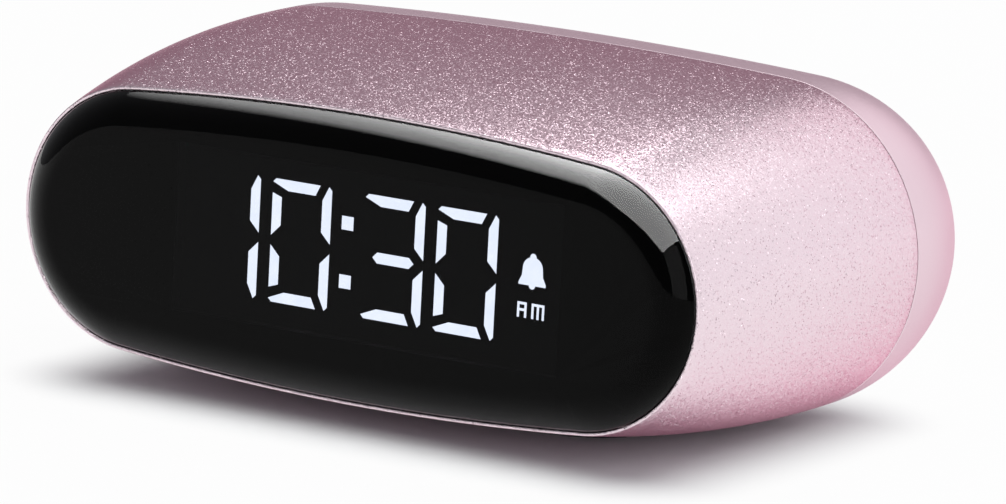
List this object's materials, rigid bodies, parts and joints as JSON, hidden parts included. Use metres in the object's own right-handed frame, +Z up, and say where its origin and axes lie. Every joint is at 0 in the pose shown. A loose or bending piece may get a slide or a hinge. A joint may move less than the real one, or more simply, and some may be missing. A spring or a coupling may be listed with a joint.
{
  "type": "digital alarm clock",
  "caption": "Barrel-shaped bedside digital alarm clock: pink metal shell, pillowed dark lens over a lit segment display, moulded rear cover with push buttons, alarm slide and power inlet.",
  "frame": {"origin": "on the table, under the middle of the clock's box", "axes": "+X to the right as the display is read, +Y to the back, away from the lens, +Z up"},
  "size_m": [0.1028, 0.0596, 0.0421],
  "materials": {
    "shell_metal": "bead-blasted and anodised pink, fine sparkle",
    "tinted_lens": "polished dark tinted acrylic",
    "black_tape": "matt black adhesive sheet",
    "black_plastic": "moulded black plastic",
    "lit_guide": "diffusing light guide, lit bluish white",
    "dark_guide": "diffusing light guide, unlit",
    "led_chip": "phosphor-coated chip",
    "circuit_board": "green solder resist",
    "screw_steel": "nickel-plated steel",
    "socket_plastic": "cream connector plastic",
    "flat_cable": "white polyester film",
    "cell_wrap": "blue shrink sleeve",
    "nickel": "nickel strip",
    "lead_insulation": "silicone insulation",
    "chip_epoxy": "moulded epoxy",
    "inlet_steel": "stamped steel",
    "plunger_plastic": "moulded dark red plastic",
    "cover_plastic": "satin pink painted plastic",
    "button_plastic": "satin pink moulded plastic",
    "foot_silicone": "matt dark grey silicone"
  },
  "bodies": {
    "case": {"front_shell": "shell_metal", "front_lens": "tinted_lens", "lens_tape": "black_tape", "segment_block": "black_plastic", "lit_segments": "lit_guide", "unlit_segments": "dark_guide", "segment_leds": "led_chip", "display_board": "circuit_board", "display_screws": "screw_steel", "ribbon_sockets": "socket_plastic", "display_ribbon": "flat_cable", "battery_tray": "black_plastic", "battery_cell": "cell_wrap", "battery_contacts": "nickel", "battery_leads": "lead_insulation", "main_board": "circuit_board", "board_chips": "chip_epoxy", "board_screws": "screw_steel", "buzzer": "black_plastic", "usb_inlet": "inlet_steel", "usb_tongue": "black_plastic", "tact_switches": "black_plastic", "slide_switch": "inlet_steel", "rear_cover": "cover_plastic", "case_screws": "screw_steel", "foot_pad": "foot_silicone"},
    "time_key": {"time_button": "button_plastic", "time_plunger": "plunger_plastic"},
    "alarm_key": {"alarm_button": "button_plastic", "alarm_plunger": "plunger_plastic"},
    "up_key": {"up_button": "button_plastic", "up_plunger": "plunger_plastic"},
    "down_key": {"down_button": "button_plastic", "down_plunger": "plunger_plastic"},
    "slide_knob": {"alarm_slide": "button_plastic"}
  },
  "joints": [
    {"name": "time_press", "type": "slide", "parent": "case", "child": "time_key", "axis": [0, -1, 0], "range_m": [0, 0.0005], "stiffness_N_per_m": 2400, "springref_m": -0.0002},
    {"name": "alarm_press", "type": "slide", "parent": "case", "child": "alarm_key", "axis": [0, -1, 0], "range_m": [0, 0.0005], "stiffness_N_per_m": 2400, "springref_m": -0.0002},
    {"name": "up_press", "type": "slide", "parent": "case", "child": "up_key", "axis": [0, -1, 0], "range_m": [0, 0.0005], "stiffness_N_per_m": 2400, "springref_m": -0.0002},
    {"name": "down_press", "type": "slide", "parent": "case", "child": "down_key", "axis": [0, -1, 0], "range_m": [0, 0.0005], "stiffness_N_per_m": 2400, "springref_m": -0.0002},
    {"name": "alarm_switch", "type": "slide", "parent": "case", "child": "slide_knob", "axis": [1, 0, 0], "range_m": [0, 0.002]}
  ]
}
